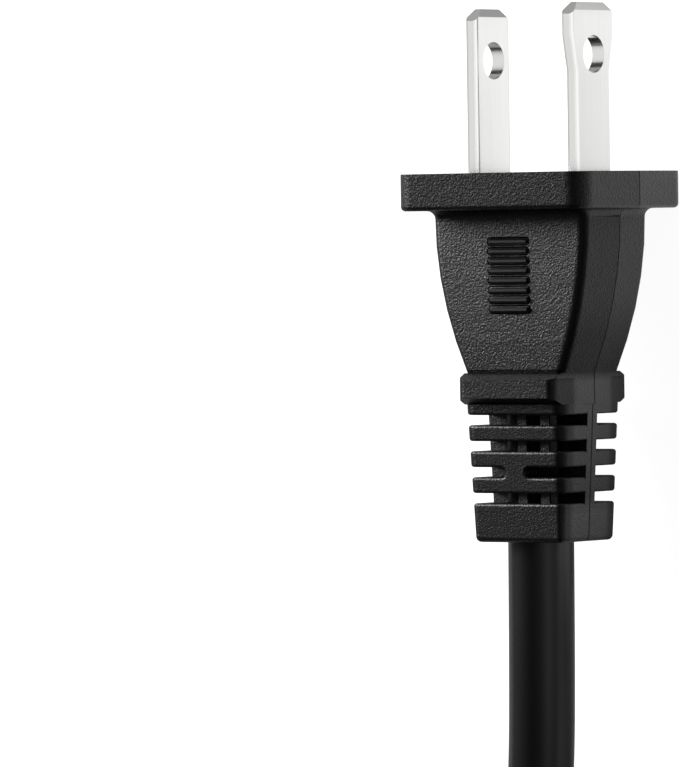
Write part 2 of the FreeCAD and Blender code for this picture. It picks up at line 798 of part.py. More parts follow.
def make_all():
    line_blade = make_blade("line_blade", -1, wide=False)
    neutral_blade = make_blade("neutral_blade", 1, wide=True)
    blade_holder = merged("blade_holder", make_holder(), line_blade, neutral_blade)
    pieces = {"line_blade": line_blade, "neutral_blade": neutral_blade, "blade_holder": blade_holder}
    strip_start = s.hank_near + s.fold_radius + s.cord_diameter * 1.5 + s.strip_length
    for name, side in (("line", -1), ("neutral", 1)):
        wire_start = s.tail_end + s.crimp_wall / 2
        label = f"{name}_conductor_plug_end"
        pieces[label] = make_wire(label, side, wire_start, s.conductor_diameter)
        label = f"{name}_insulation_plug_end"
        pieces[label] = make_wire(label, side, s.core_start, s.core_diameter, s.conductor_diameter)
        label = f"{name}_conductor_far_end"
        pieces[label] = make_far_core(label, side, strip_start, s.strip_length, s.conductor_diameter)
        label = f"{name}_insulation_far_end"
        covered = s.strip_length - s.bare_length
        pieces[label] = make_far_core(label, side, strip_start, covered, s.core_diameter, s.conductor_diameter)
    pieces["cord_jacket"] = make_cord()
    inside = [piece for label, piece in pieces.items() if not label.endswith("far_end")]
    pieces["plug_body"] = make_moulding(*inside)
    pieces["cord_hank"] = make_hank()
    for name, side in (("left", -1), ("right", 1)):
        pieces[f"hank_tie_{name}"] = make_tie(f"hank_tie_{name}", side)
    return pieces


def write(pieces):
    for thing in doc.Objects:
        if "Invalid" in thing.State or "Error" in thing.State:
            raise ValueError(f"{thing.Label} couldn't be made: {thing.State}")
    for label, piece in pieces.items():
        if piece.Shape.isNull() or not piece.Shape.isValid():
            raise ValueError(f"{label} has no sound shape")
    os.makedirs("parts", exist_ok=True)
    for label, piece in pieces.items():
        piece.Shape.exportStep(f"parts/{label}.step")
        print(f"{label}: {len(piece.Shape.Solids)} solid, {piece.Shape.Volume:.1f} cubic mm")


made = make_all()
doc.recompute()
write(made)
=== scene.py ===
import json
import math
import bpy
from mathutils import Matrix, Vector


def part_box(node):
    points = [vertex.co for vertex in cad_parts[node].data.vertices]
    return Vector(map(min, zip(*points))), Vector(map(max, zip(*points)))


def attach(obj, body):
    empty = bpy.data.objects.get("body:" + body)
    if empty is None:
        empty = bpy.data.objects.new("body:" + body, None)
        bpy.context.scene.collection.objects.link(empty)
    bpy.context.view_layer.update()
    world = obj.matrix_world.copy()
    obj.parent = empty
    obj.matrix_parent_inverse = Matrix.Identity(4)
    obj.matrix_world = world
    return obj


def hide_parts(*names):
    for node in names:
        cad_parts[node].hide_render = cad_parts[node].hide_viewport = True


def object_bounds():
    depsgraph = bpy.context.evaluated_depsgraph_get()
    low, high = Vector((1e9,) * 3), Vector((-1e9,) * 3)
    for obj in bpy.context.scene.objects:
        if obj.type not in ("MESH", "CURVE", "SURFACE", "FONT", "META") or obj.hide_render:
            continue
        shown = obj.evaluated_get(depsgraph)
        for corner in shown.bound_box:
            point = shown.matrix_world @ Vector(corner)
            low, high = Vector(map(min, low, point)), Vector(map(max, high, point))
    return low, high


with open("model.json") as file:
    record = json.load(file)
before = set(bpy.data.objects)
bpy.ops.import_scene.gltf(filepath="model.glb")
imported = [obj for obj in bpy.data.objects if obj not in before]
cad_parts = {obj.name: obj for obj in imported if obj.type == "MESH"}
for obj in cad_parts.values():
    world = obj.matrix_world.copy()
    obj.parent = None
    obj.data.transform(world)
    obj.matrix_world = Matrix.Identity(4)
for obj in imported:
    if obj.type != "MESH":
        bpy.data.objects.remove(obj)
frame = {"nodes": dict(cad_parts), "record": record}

from types import SimpleNamespace

import bmesh
import bpy
from mathutils import Matrix, Vector

# A moulded two-blade plug on a round cord, lying on the back edge of its flange. Lengths are in
# metres. X runs across the blades, Y along them and away from the cord, and Z up out of the ridged
# front.

MM = 0.001
CAD_BOX = [list(corner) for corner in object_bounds()]
NODES = frame["nodes"]
FLOOR_Z = CAD_BOX[0][2]

# The cord and its folds, as in the part.
CORD_DIAMETER = 7.0 * MM
CORD_EXIT = (-0.4 * MM, -38.8 * MM, 0)
# The points of the part's own route in millimetres, from inside the strain relief to the hank.
LEAD_ROUTE = (
    (-0.4, -24, 0),
    (-0.4, -46, 0),
    (-2.9, -70, -2.9),
    (-9.1, -91.7, -5.55),
    (-9.1, -105.7, -5.55),
)
HANK_MIDDLE_X = 18.9 * MM
NEAR_BEND_Y = -125.5 * MM
FAR_BEND_Y = -172.5 * MM
OUTER_TURN = 28.0 * MM
INNER_TURN = 21.0 * MM
LOW_Z = -5.55 * MM
MIDDLE_Z = LOW_Z + CORD_DIAMETER
HIGH_Z = MIDDLE_Z + CORD_DIAMETER
JACKET_END_Y = -159.5 * MM
BEND_CORNERS = 6
SIDE_CORNERS = 3
# Each loop's place in the bundle, in the order they are laid: how far its sides are from the hank's
# middle, and how high they lie.
LOOP_PLACES = (
    (OUTER_TURN, LOW_Z),
    (INNER_TURN, LOW_Z),
    (INNER_TURN, MIDDLE_Z),
    (OUTER_TURN, MIDDLE_Z),
    (OUTER_TURN, HIGH_Z),
    (INNER_TURN, HIGH_Z),
)
# The length along which a loop moves over to its place, and how much earlier than the loop before
# it each one starts to.
MOVE_LENGTH = 45 * MM
MOVE_STAGGER = 20 * MM

# The wire ties round the hank's two sides: a flat strip that a wire stands out of, round six turns
# of the cord, and its two narrower ends, twisted round each other.
TIE_Y = -165.0 * MM
TIE_WIDTH = 4.0 * MM
TIE_THICKNESS = 0.5 * MM
TIE_CORNER_STEPS = 8
TIE_SHARP_ANGLE = math.radians(40)
TAIL_WIDTH = 2.4 * MM
TAIL_LENGTH = 12.0 * MM
TAIL_DROOP = 2.5 * MM
TAIL_TURNS = 2.5
TAIL_STEPS = 60
TAIL_OFF_MIDDLE = 0.55 * TIE_THICKNESS
WIRE_RADIUS = 0.45 * MM
WIRE_SHOULDER = 0.7
LOOP_BULGE = 0.7 * WIRE_RADIUS
TAIL_BULGE = 0.5 * WIRE_RADIUS

# The bared strands of the two cores: one in the middle, and two rings round it.
CORE_X = HANK_MIDDLE_X + INNER_TURN
CORE_OFFSET = 1.45 * MM
STRAND_RINGS = (1, 6, 12)
STRAND_RADIUS = 0.12 * MM
STRAND_SPACING = 1.9 * STRAND_RADIUS
STRANDS_LENGTH = 8.0 * MM
STRANDS_INSIDE = 1.5 * MM
STRANDS_TURNS = 1.1
STRANDS_SPLAY = 0.25
STRAND_STEPS = 24

# The posts in the first, second and fourth slots of the strain relief. Each reaches from one
# distance off the plug's middle plane to another, at the front and at the back.
SLOT_FIRST = -25.95 * MM
SLOT_PITCH = 2.74 * MM
SLOT_HEIGHT = 1.07 * MM
POST_ROWS = (0, 1, 3)
POST_PLACES = (0.25 * MM, 3.1 * MM)
POST_WIDTH = 1.3 * MM
POST_REACH = (2.9 * MM, 4.3 * MM)
POST_EDGE = 0.12 * MM

# The grip ridges, as in the part. A ridge's smooth top ends between two distances from its middle
# line, and the rows of ridges end with a narrow blur past the first and the last.
RIDGE_COUNT = 8
RIDGE_FIRST = 7.2 * MM
RIDGE_PITCH = 1.02 * MM
RIDGE_HALF_LENGTH = 2.23 * MM
RIDGE_EDGE = (0.24 * MM, 0.34 * MM)
ROWS_BLUR = 0.01 * MM
# Stretches of the moulding, each by its middle, its half width and its blur: the painted shade line at
# a ridge's foot by the distance from the ridge's middle line, the grip with its coarser grain and the
# crease above the collar along Y, and the seam of the mould halves along Z. The crease and the seam
# get painted shade too.
RIDGE_FOOT = (0.4 * MM, 0.03 * MM, 0.06 * MM)
GRIP = (-12.6 * MM, 7.6 * MM, 1.2 * MM)
COLLAR_CREASE = (-20.9 * MM, 0.16 * MM, 0.12 * MM)
SEAM = (0, 0.06 * MM, 0.06 * MM)
# How dark the painted shade in the seam and the crease is, where 1 is a ridge's foot, and how deep
# all these lines are.
SEAM_PAINTED_SHADE = 0.85
CREASE_PAINTED_SHADE = 0.8
LINE_DEPTH = 0.05 * MM
# How far a surface turns to X until it counts as a side, and to both X and Z until it counts as a
# rounded corner, which gets painted shade. The flange's corners, in front of its back face, count less.
SIDE_TURN = (0.4, 0.7)
CORNER_TURN = (0.15, 0.4)
FLANGE_BACK = (-5 * MM, -4 * MM)
FLANGE_CORNER = 0.4
# Where the collar and the strain relief start, and how far off the middle plane their corners are,
# which get painted shade.
RELIEF_START = (-21.6 * MM, -21.5 * MM)
RELIEF_CORNER = (2.6 * MM, 4.2 * MM)

# The moulding's grain: its scale, its depth, what the grip adds to that, and its share elsewhere.
GRAIN_SCALE = 4300
GRAIN_DEPTH = 0.07 * MM
GRIP_DEPTH = 0.02 * MM
GRAIN_ON_RIDGES = 0.1
GRAIN_ON_SIDES = 2.2
GRAIN_ON_CORNERS = 0.5
GRAIN_ON_RELIEF = 0.85
# Its gloss on faces and on sides, by the distance below the mating face in mm, and the share of it
# on corners. The levels along the moulding are painted light and shade, and the lower share on
# corners is painted shade.
MOULDING_END = 39.0
PAINTED_LIGHT_GLOSS_ON_FACES = (
    (0, 0.36),
    (4, 0.36),
    (5, 0.76),
    (16, 0.8),
    (20.8, 0.72),
    (21.6, 0.48),
    (25, 0.54),
    (39, 0.64),
)
PAINTED_LIGHT_GLOSS_ON_SIDES = (
    (0, 0.52),
    (4, 0.52),
    (5, 0.31),
    (13, 0.29),
    (17, 0.17),
    (21, 0.17),
    (22, 0.72),
    (34, 0.4),
    (36, 0.86),
)
CORNER_SHADE_GLOSS = 0.36

# The gloss of the cord's jacket outside and inside the strain relief, and where it changes. The low
# gloss inside is painted shade in the relief's slots.
JACKET_GLOSS = 0.75
PAINTED_SHADE_JACKET_GLOSS = 0.04
JACKET_GLOSS_EDGE = (CORD_EXIT[1], CORD_EXIT[1] + 0.5 * MM)

# Each pair of colours is the darker and the lighter end of a fine change of tone.
MOULDING_COLOURS = ((0.004, 0.004, 0.0042), (0.008, 0.008, 0.0083))
GRIP_COLOURS = ((0.007, 0.007, 0.0072), (0.012, 0.012, 0.0123))
# The painted shade in the lines at the ridges' feet, in the seam and in the crease above the collar.
PAINTED_SHADE_COLOUR = (0.002, 0.002, 0.002)
JACKET_COLOURS = ((0.004, 0.004, 0.0045), (0.007, 0.007, 0.0075))
BLADE_COLOURS = ((0.72, 0.72, 0.71), (0.78, 0.78, 0.77))
# The other finishes, by the record's slot: their colours, roughness and metallic level.
OTHER_FINISHES = {
    "holder": (((0.025, 0.024, 0.022), (0.04, 0.038, 0.035)), 0.45, 0),
    "line_insulation": (((0.008, 0.008, 0.008), (0.014, 0.014, 0.014)), 0.38, 0),
    "neutral_insulation": (((0.7, 0.7, 0.68), (0.78, 0.78, 0.76)), 0.4, 0),
    "conductor": (((0.78, 0.36, 0.2), (0.9, 0.46, 0.28)), 0.28, 1),
    "tie": (((0.01, 0.01, 0.01), (0.018, 0.018, 0.018)), 0.42, 0),
}

# The camera, found from the blades' and flange's corners in the photograph. The focal length is in
# the photograph's pixels, and the sensor, in mm, spans its longer side.
PHOTO_HEIGHT = 767
FOCAL_PIXELS = 8074
SENSOR = 36.0
CAMERA_AZIMUTH = math.radians(35.5)
CAMERA_ELEVATION = math.radians(1.06)
CAMERA_ROLL = math.radians(-0.86)
CAMERA_DISTANCE = 0.85
CAMERA_SHIFT_RIGHT = -21.03 * MM
CAMERA_SHIFT_UP = -22.21 * MM

# The room's light, by the angle in degrees round the plug's length: 0 is +X, 90 straight up and 180
# -X. Towards the tips and towards the cord it dims to a share, between two Ys of a direction.
ROOM_LEVELS = (
    (0, 0.18),
    (14, 0.23),
    (32, 0.42),
    (55, 0.16),
    (75, 0.08),
    (97, 0.04),
    (120, 0.09),
    (150, 0.15),
    (180, 0.14),
)
ROOM_TIPS_EDGE = (0.3, 0.7)
ROOM_BY_TIPS = 0.2
ROOM_CORD_EDGE = (-0.7, -0.2)
ROOM_BY_CORD = 0.2
# The lamps: the point that each is aimed at, its angle round the plug, its rise from there towards
# the tips, its distance, its sizes round and along the plug, and its brightness.
KEY = {
    "aim": (0, -15 * MM, 0),
    "angle": 153,
    "rise": 26,
    "distance": 0.45,
    "size": (0.25, 0.25),
    "luminance": 14.5,
}
EVERY_CARD = {"aim": (0, 8 * MM, 0), "rise": 0, "distance": 0.1}
CARDS = {
    "left_card": {"angle": 157, "size": (0.08, 0.2), "luminance": 0.62},
    "middle_card": {"angle": 110, "size": (0.096, 0.2), "luminance": 0.86},
    "right_card": {"angle": 42.5, "size": (0.2, 0.2), "luminance": 0.98},
}

# The floor: grey paint that takes the shadow, and a glow that makes it white to the camera.
FLOOR_REACH = 3
FLOOR_PAINT = 0.5
BACKGROUND_GLOW = 0.93
# To reflections and bounced light it glows as a lit table, which is painted light. Along Y it has
# painted shade by the cord and past the blades' tips, where it goes from one level to another along X.
TABLE_LEVEL = 0.84
TABLE_CORD_EDGE = (-54 * MM, -28 * MM)
TABLE_BY_CORD = 0.16
TABLE_TIP_EDGE = (16.5 * MM, 21 * MM)
TIPS_TURN = (6 * MM, 11 * MM)
TABLE_BY_TIPS = (0.06, 0.42)
# To the left of an edge it has painted shade. The edge has one X by the cord and another by the blades.
SHADE_TURN = (-6 * MM, -1 * MM)
SHADE_EDGE = (8 * MM, -5 * MM)
SHADE_BLUR = 3 * MM
SHADE_LEVEL = 0.05


def link(piece):
    bpy.context.scene.collection.objects.link(piece)
    return piece


def camera():
    """The photograph's view, turned so that the blades point up in the picture."""
    a, e = CAMERA_AZIMUTH, CAMERA_ELEVATION
    back = Vector((math.sin(a) * math.cos(e), math.sin(e), math.cos(a) * math.cos(e)))
    level_right = Vector((math.cos(a), 0, -math.sin(a)))
    level_up = back.cross(level_right)
    c, r = math.cos(CAMERA_ROLL), math.sin(CAMERA_ROLL)
    right = level_right * c + level_up * r
    up = level_up * c - level_right * r
    data = bpy.data.cameras.new("camera")
    data.sensor_width = SENSOR
    data.lens = SENSOR * FOCAL_PIXELS / PHOTO_HEIGHT
    data.clip_start = 0.01
    data.clip_end = 20
    view = link(bpy.data.objects.new("camera", data))
    view.matrix_world = Matrix((right, up, back)).transposed().to_4x4()
    view.matrix_world.translation = (
        right * CAMERA_SHIFT_RIGHT + up * CAMERA_SHIFT_UP + back * CAMERA_DISTANCE
    )
    bpy.context.scene.camera = view


def smooth_step(value):
    value = min(max(value, 0), 1)
    return value * value * (3 - 2 * value)


def place_after(way, before, place):
    """Where a loop is after some way of its move from the place before to its own."""
    done = smooth_step(way / MOVE_LENGTH)
    return [b + (p - b) * done for b, p in zip(before, place)]


def hank_points():
    """The corners of the folded cord's turns: one loop after the other, each with its own place in
    the bundle. Where a loop goes over to its next place, the one above or beside it has just left."""
    half_corner = math.pi / BEND_CORNERS / 2
    corner_angles = [half_corner * (2 * i + 1) for i in range(BEND_CORNERS)]
    bend_length = math.pi * (OUTER_TURN + INNER_TURN) / 2
    points = []

    def add_corner(bend_y, angle, radius, height):
        reach = radius / math.cos(half_corner)
        x = HANK_MIDDLE_X + reach * math.cos(angle)
        points.append((x, bend_y + reach * math.sin(angle), height))

    for loop, place in enumerate(LOOP_PLACES):
        before = LOOP_PLACES[max(loop - 1, 0)]
        move_start = MOVE_STAGGER * (len(LOOP_PLACES) - 1 - loop)
        if loop:
            for angle in corner_angles:
                way = bend_length * angle / math.pi
                add_corner(NEAR_BEND_Y, angle, *place_after(way - move_start, before, place))
        side_start = NEAR_BEND_Y + place[0] * math.tan(half_corner)
        side_end = FAR_BEND_Y - place[0] * math.tan(half_corner)
        side_step = (side_end - side_start) / (SIDE_CORNERS + 1)
        side_ys = [side_start + side_step * i for i in range(1, SIDE_CORNERS + 1)]
        for y in side_ys:
            way = bend_length + NEAR_BEND_Y - y
            radius, height = place_after(way - move_start, before, place)
            points.append((HANK_MIDDLE_X - radius, y, height))
        for angle in corner_angles:
            add_corner(FAR_BEND_Y, math.pi + angle, *place)
        if loop < len(LOOP_PLACES) - 1:
            points += [(HANK_MIDDLE_X + place[0], y, place[1]) for y in reversed(side_ys)]
    points.append((HANK_MIDDLE_X + INNER_TURN, JACKET_END_Y, HIGH_Z))
    return points


def tubes(name, radius, sides):
    """A curve whose splines are round tubes."""
    data = bpy.data.curves.new(name, "CURVE")
    data.dimensions = "3D"
    data.bevel_depth = radius
    data.bevel_resolution = sides
    data.use_fill_caps = True
    return data


def cord(ties):
    """The whole cord, from inside the strain relief to the end of its jacket, as one smooth spline."""
    lead = [tuple(v * MM for v in point) for point in LEAD_ROUTE]
    points = lead + hank_points()
    data = tubes("cord", CORD_DIAMETER / 2, sides=12)
    data.resolution_u = 12
    spline = data.splines.new("NURBS")
    spline.points.add(len(points) - 1)
    for corner, point in zip(spline.points, points):
        corner.co = (*point, 1)
    spline.order_u = 3
    spline.use_endpoint_u = True
    piece = link(bpy.data.objects.new("cord", data))
    data.materials.append(jacket_material())
    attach(piece, "root")
    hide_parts("cord_jacket", "cord_hank")


def swept(name, places, profile, closed=False):
    """A mesh along the places. Each place is a point with the two directions its profile lies in."""
    shape = bmesh.new()
    rings = []
    for point, first, second in places:
        rings.append([shape.verts.new(point + first * a + second * b) for a, b in profile])
    pairs = list(zip(rings, rings[1:]))
    if closed:
        pairs.append((rings[-1], rings[0]))
    for ring, after in pairs:
        for i in range(len(profile)):
            j = (i + 1) % len(profile)
            shape.faces.new((ring[i], ring[j], after[j], after[i]))
    if not closed:
        shape.faces.new(rings[0][::-1])
        shape.faces.new(rings[-1])
    bmesh.ops.recalc_face_normals(shape, faces=shape.faces)
    mesh = bpy.data.meshes.new(name)
    shape.to_mesh(mesh)
    shape.free()
    return mesh


def strip_profile(width, bulge):
    """A flat plastic strip with a wire inside, which stands out of one side. The first direction
    runs across the strip, and the second out of it."""
    half = width / 2
    thin = TIE_THICKNESS / 2
    shoulder = (WIRE_RADIUS * WIRE_SHOULDER, thin + bulge * WIRE_SHOULDER)
    half_top = [(half, thin), (WIRE_RADIUS, thin), shoulder]
    other_half = [(-across, out) for across, out in reversed(half_top)]
    return [*half_top, (0, thin + bulge), *other_half, (-half, -thin), (half, -thin)]


def tie_loop(middle_x):
    """The places of a strip that lies tight round six turns of the cord."""
    radius = CORD_DIAMETER / 2 + TIE_THICKNESS / 2
    right = middle_x + CORD_DIAMETER / 2
    left = middle_x - CORD_DIAMETER / 2
    places = []
    for x, z, start in ((right, HIGH_Z, 0), (left, HIGH_Z, 90), (left, LOW_Z, 180), (right, LOW_Z, 270)):
        for step in range(TIE_CORNER_STEPS + 1):
            angle = math.radians(start + 90 * step / TIE_CORNER_STEPS)
            out = Vector((math.cos(angle), 0, math.sin(angle)))
            places.append((Vector((x, TIE_Y, z)) + out * radius, Vector((0, 1, 0)), out))
    return places


def tie_tail(start_x, way, turn_offset):
    """The places of one of the two strip ends, twisted round each other as they run into the hank."""
    places = []
    for step in range(TAIL_STEPS + 1):
        along = step / TAIL_STEPS
        angle = turn_offset + along * TAIL_TURNS * 2 * math.pi
        across = Vector((0, math.cos(angle), math.sin(angle)))
        out = Vector((0, -math.sin(angle), math.cos(angle)))
        droop = TAIL_DROOP * along * along
        point = Vector((start_x + way * TAIL_LENGTH * along, TIE_Y, MIDDLE_Z - droop))
        places.append((point + out * TAIL_OFF_MIDDLE, across, out))
    return places


def tie(node_name, side, made):
    """A plastic-coated wire tie round one side of the hank, with its ends twisted together."""
    middle_x = HANK_MIDDLE_X + side * (OUTER_TURN + INNER_TURN) / 2
    start_x = middle_x - side * CORD_DIAMETER
    shape = bmesh.new()
    meshes = [swept("loop", tie_loop(middle_x), strip_profile(TIE_WIDTH, LOOP_BULGE), closed=True)]
    for turn_offset in (0, math.pi):
        places = tie_tail(start_x, -side, turn_offset)
        meshes.append(swept("tail", places, strip_profile(TAIL_WIDTH, TAIL_BULGE)))
    for mesh in meshes:
        shape.from_mesh(mesh)
        bpy.data.meshes.remove(mesh)
    mesh = bpy.data.meshes.new(f"{node_name}_strip")
    shape.to_mesh(mesh)
    shape.free()
    piece = link(bpy.data.objects.new(f"{node_name}_strip", mesh))
    mesh.materials.append(made)
    mesh.shade_smooth()
    mesh.set_sharp_from_angle(angle=TIE_SHARP_ANGLE)
    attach(piece, "root")
    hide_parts(node_name)
    return piece


def strands(node_name, x, made):
    """The bared copper strands of a core, twisted and a little splayed at their end."""
    data = tubes(f"{node_name}_strands", STRAND_RADIUS, sides=3)
    low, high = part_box(node_name)
    z = (low[2] + high[2]) / 2
    start = high[1] - STRANDS_LENGTH - STRANDS_INSIDE
    for ring, count in enumerate(STRAND_RINGS):
        for number in range(count):
            spline = data.splines.new("POLY")
            spline.points.add(STRAND_STEPS)
            for step, point in enumerate(spline.points):
                along = step / STRAND_STEPS
                angle = 2 * math.pi * (number / count + along * STRANDS_TURNS)
                reach = ring * STRAND_SPACING * (1 + STRANDS_SPLAY * along**3)
                y = start + (high[1] - start) * along
                point.co = (x + reach * math.cos(angle), y, z + reach * math.sin(angle), 1)
    piece = link(bpy.data.objects.new(f"{node_name}_strands", data))
    data.materials.append(made)
    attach(piece, "root")
    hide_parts(node_name)


def slot_posts(made):
    """Small posts in the slots of the strain relief, set back from its front and from its back."""
    shape = bmesh.new()
    low, high = POST_REACH
    size = (POST_WIDTH, SLOT_HEIGHT + 2 * POST_EDGE, high - low)
    for row in POST_ROWS:
        for x in POST_PLACES:
            for face in (1, -1):
                middle = (face * x, SLOT_FIRST - SLOT_PITCH * row, face * (low + high) / 2)
                bmesh.ops.create_cube(shape, size=1, matrix=Matrix.LocRotScale(middle, None, size))
    bmesh.ops.bevel(shape, geom=shape.edges[:], offset=POST_EDGE, segments=2, affect="EDGES")
    mesh = bpy.data.meshes.new("slot_posts")
    shape.to_mesh(mesh)
    shape.free()
    mesh.materials.append(made)
    piece = link(bpy.data.objects.new("slot_posts", mesh))
    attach(piece, "root")


def material(name, **sockets):
    made = bpy.data.materials.new(name)
    made.use_nodes = True
    shader = made.node_tree.nodes["Principled BSDF"]
    for socket, value in sockets.items():
        shader.inputs[socket].default_value = value
    return made, made.node_tree, shader


def node(tree, kind, **inputs):
    made = tree.nodes.new(kind)
    for socket, value in inputs.items():
        made.inputs[socket].default_value = value
    return made


def feed(tree, value, socket):
    """Gives a socket its value, which is a number, a colour or another node's output."""
    if isinstance(value, bpy.types.NodeSocket):
        tree.links.new(value, socket)
    elif isinstance(value, tuple):
        socket.default_value = (*value, 1)
    else:
        socket.default_value = value


def arithmetic(tree, operation, *values):
    made = tree.nodes.new("ShaderNodeMath")
    made.operation = operation
    for value, socket in zip(values, made.inputs):
        feed(tree, value, socket)
    return made.outputs[0]


def product(tree, first, *others):
    for other in others:
        first = arithmetic(tree, "MULTIPLY", first, other)
    return first


def ramp_between(tree, value, start, end, low, high):
    """low up to start, high from end on, and a smooth change between them."""
    made = tree.nodes.new("ShaderNodeMapRange")
    made.interpolation_type = "SMOOTHSTEP"
    for socket, number in zip(("From Min", "From Max", "To Min", "To Max"), (start, end, low, high)):
        made.inputs[socket].default_value = number
    tree.links.new(value, made.inputs["Value"])
    return made.outputs["Result"]


def share_where(tree, amount, share):
    """1 where the amount is 0, and the share where it is 1."""
    return ramp_between(tree, amount, 0, 1, 1.0, share)


def inside_range(tree, value, centre, half_width, blur):
    """1 within half_width of the centre, and 0 past it."""
    off = arithmetic(tree, "ABSOLUTE", arithmetic(tree, "SUBTRACT", value, centre))
    return ramp_between(tree, off, half_width, half_width + blur, 1.0, 0.0)


def blend_values(tree, amount, first, second):
    step = arithmetic(tree, "SUBTRACT", second, first)
    return arithmetic(tree, "ADD", first, product(tree, step, amount))


def mix_colour(tree, amount, first, second):
    made = tree.nodes.new("ShaderNodeMix")
    made.data_type = "RGBA"
    tree.links.new(amount, made.inputs["Factor"])
    feed(tree, first, made.inputs["A"])
    feed(tree, second, made.inputs["B"])
    return made.outputs["Result"]


def level_at(tree, value, stops, end):
    """A level between the nearest two stops, which are pairs of a value up to the end and a level."""
    ramp = tree.nodes.new("ShaderNodeValToRGB")
    points = ramp.color_ramp.elements
    points.remove(points[1])
    for number, (at, level) in enumerate(stops):
        point = points[0] if number == 0 else points.new(at / end)
        point.position = at / end
        point.color = (level, level, level, 1)
    tree.links.new(arithmetic(tree, "DIVIDE", value, end), ramp.inputs["Fac"])
    return ramp.outputs["Color"]


def split(tree, vector):
    made = tree.nodes.new("ShaderNodeSeparateXYZ")
    tree.links.new(vector, made.inputs[0])
    return made.outputs


def object_place(tree):
    return tree.nodes.new("ShaderNodeTexCoord").outputs["Object"]


def ray_is(tree, first, second):
    """1 for the rays of two kinds, and 0 for others."""
    rays = tree.nodes.new("ShaderNodeLightPath")
    return arithmetic(tree, "MAXIMUM", rays.outputs[first], rays.outputs[second])


def noise(tree, place, scale, detail=2.0, roughness=0.5):
    made = node(tree, "ShaderNodeTexNoise", Scale=scale, Detail=detail, Roughness=roughness)
    tree.links.new(place, made.inputs["Vector"])
    return made.outputs["Fac"]


def bump(tree, shader, height, distance=1.0, strength=1.0):
    made = node(tree, "ShaderNodeBump", Distance=distance, Strength=strength)
    tree.links.new(height, made.inputs["Height"])
    tree.links.new(made.outputs["Normal"], shader.inputs["Normal"])


def ridge_distance(tree, x, y):
    """How far a point of the head is from the middle line of the nearest grip ridge."""
    down = arithmetic(tree, "SUBTRACT", product(tree, y, -1), RIDGE_FIRST)
    across = arithmetic(tree, "PINGPONG", down, RIDGE_PITCH / 2)
    past_end = arithmetic(tree, "SUBTRACT", arithmetic(tree, "ABSOLUTE", x), RIDGE_HALF_LENGTH)
    past_end = arithmetic(tree, "MAXIMUM", past_end, 0)
    squares = arithmetic(tree, "ADD", product(tree, across, across), product(tree, past_end, past_end))
    return arithmetic(tree, "SQRT", squares)


def moulding_areas(tree, place):
    """The areas of the moulding that differ: each is 1 in the area, and 0 off it."""
    x, y, z = split(tree, place)
    normal = split(tree, tree.nodes.new("ShaderNodeNewGeometry").outputs["Normal"])
    sideways = arithmetic(tree, "ABSOLUTE", normal["X"])
    upwards = arithmetic(tree, "ABSOLUTE", normal["Z"])
    side = ramp_between(tree, sideways, *SIDE_TURN, 0.0, 1.0)
    face = arithmetic(tree, "SUBTRACT", 1, side)

    from_ridge = ridge_distance(tree, x, y)
    rows_middle = -RIDGE_FIRST - RIDGE_PITCH * (RIDGE_COUNT - 1) / 2
    rows = inside_range(tree, y, rows_middle, RIDGE_PITCH * RIDGE_COUNT / 2, ROWS_BLUR)
    ridge = product(tree, ramp_between(tree, from_ridge, *RIDGE_EDGE, 1.0, 0.0), rows, face)
    # Painted shade in a narrow line at each ridge's foot, in the seam and in the crease above the
    # collar.
    ridge_foot_shade = product(tree, inside_range(tree, from_ridge, *RIDGE_FOOT), rows)
    seam = product(tree, inside_range(tree, z, *SEAM), side, SEAM_PAINTED_SHADE)
    crease = product(tree, inside_range(tree, y, *COLLAR_CREASE), face, CREASE_PAINTED_SHADE)
    line = arithmetic(tree, "MAXIMUM", arithmetic(tree, "MAXIMUM", ridge_foot_shade, seam), crease)

    # The rounded corners, and the relief's sides far off the middle plane, get painted shade.
    rounded = ramp_between(tree, product(tree, sideways, upwards), *CORNER_TURN, 0.0, 1.0)
    rounded = product(tree, rounded, ramp_between(tree, y, *FLANGE_BACK, 1.0, FLANGE_CORNER))
    relief = ramp_between(tree, y, *RELIEF_START, 1.0, 0.0)
    high = ramp_between(tree, arithmetic(tree, "ABSOLUTE", z), *RELIEF_CORNER, 0.0, 1.0)
    corner = arithmetic(tree, "MAXIMUM", product(tree, high, relief, side), rounded)
    return SimpleNamespace(
        side=side,
        grip=product(tree, inside_range(tree, y, *GRIP), face),
        ridge=ridge,
        relief=relief,
        corner=corner,
        line=line,
    )


